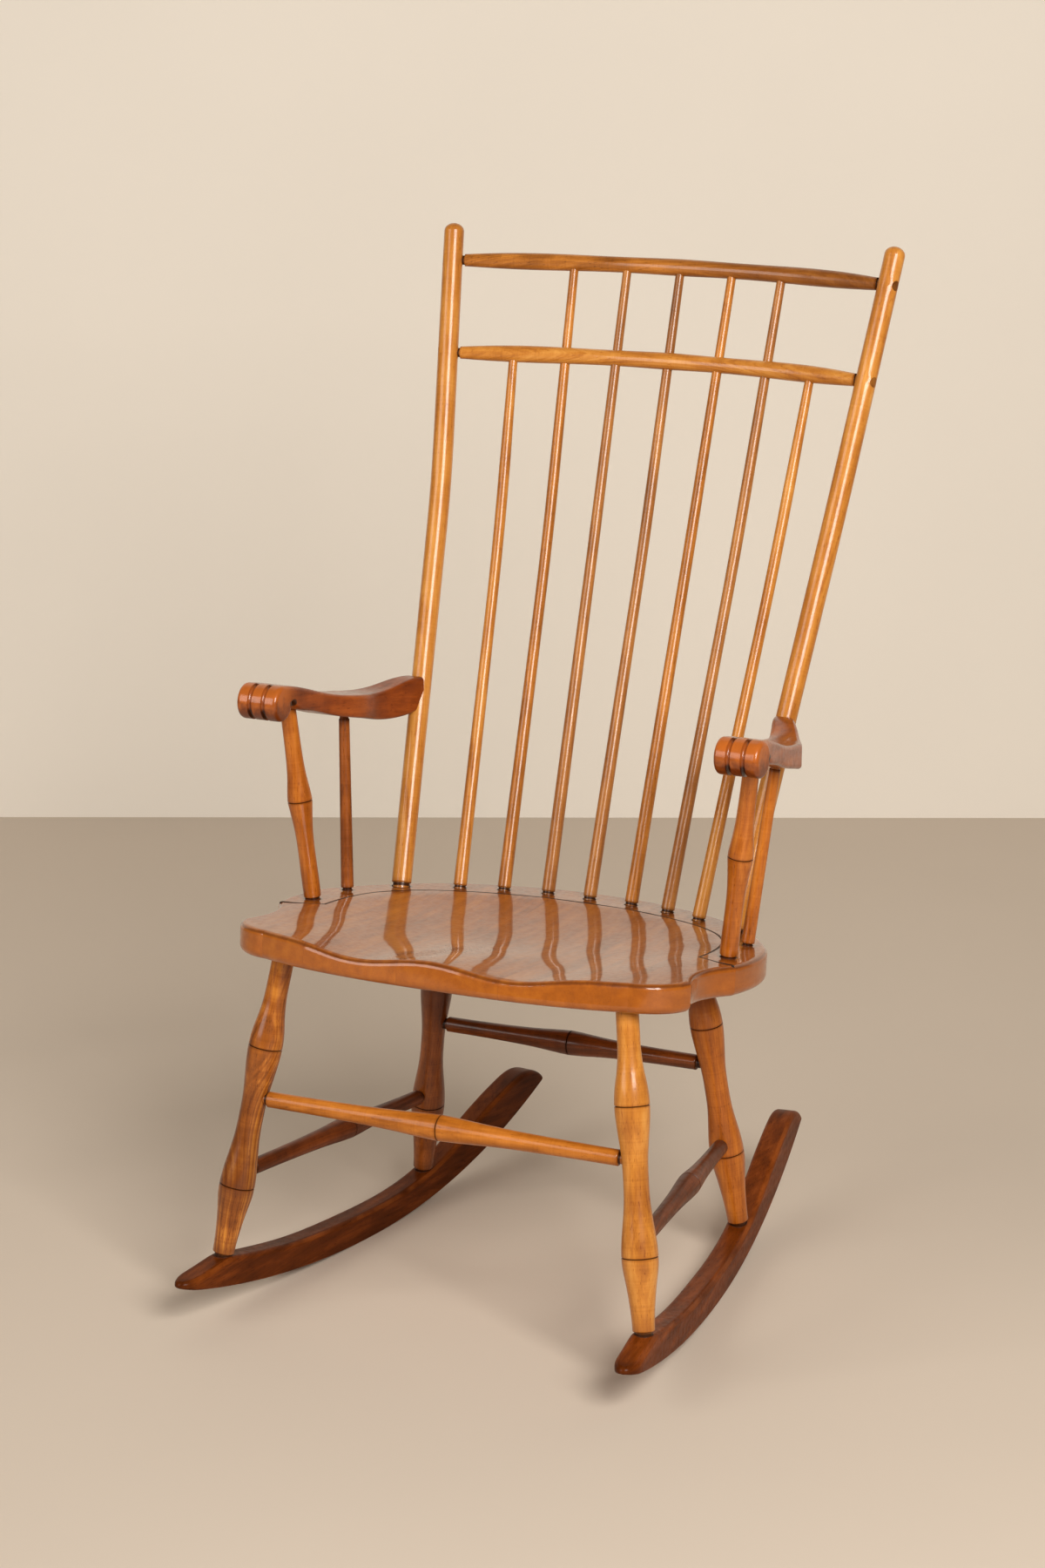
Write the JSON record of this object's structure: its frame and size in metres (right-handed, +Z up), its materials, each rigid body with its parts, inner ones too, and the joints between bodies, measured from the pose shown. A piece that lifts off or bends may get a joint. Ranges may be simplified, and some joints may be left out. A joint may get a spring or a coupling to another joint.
{
  "type": "windsor rocking chair",
  "caption": "Wooden rocking chair with a saddled plank seat, turned legs and stretchers, a spindle back between bent posts, and knuckled arms.",
  "frame": {"origin": "on the floor under the middle of the chair's bounding box", "axes": "+Z up; -Y is the front of the chair, where the knees go; +X is the sitter's left"},
  "size_m": [0.617, 0.7543, 1.1327],
  "materials": {
    "seat_plank": "glossy amber lacquer",
    "turned_maple": "glossy honey lacquer",
    "dark_maple": "glossy red-brown lacquer",
    "back_wood": "glossy honey lacquer"
  },
  "bodies": {
    "root": {"seat": "seat_plank", "leg_front_left": "turned_maple", "leg_front_right": "turned_maple", "leg_back_left": "turned_maple", "leg_back_right": "turned_maple", "front_stretcher": "turned_maple", "rear_stretcher": "dark_maple", "side_stretcher_left": "dark_maple", "side_stretcher_right": "dark_maple", "rocker_left": "dark_maple", "rocker_right": "dark_maple", "back_post_left": "back_wood", "back_post_right": "back_wood", "top_rail": "back_wood", "lower_rail": "back_wood", "spindle_1": "back_wood", "spindle_2": "back_wood", "spindle_3": "back_wood", "spindle_4": "back_wood", "spindle_5": "back_wood", "spindle_6": "back_wood", "spindle_7": "back_wood", "arm_left": "dark_maple", "arm_right": "dark_maple", "arm_stump_left": "turned_maple", "arm_stump_right": "turned_maple", "arm_spindle_left": "turned_maple", "arm_spindle_right": "turned_maple"}
  },
  "joints": []
}
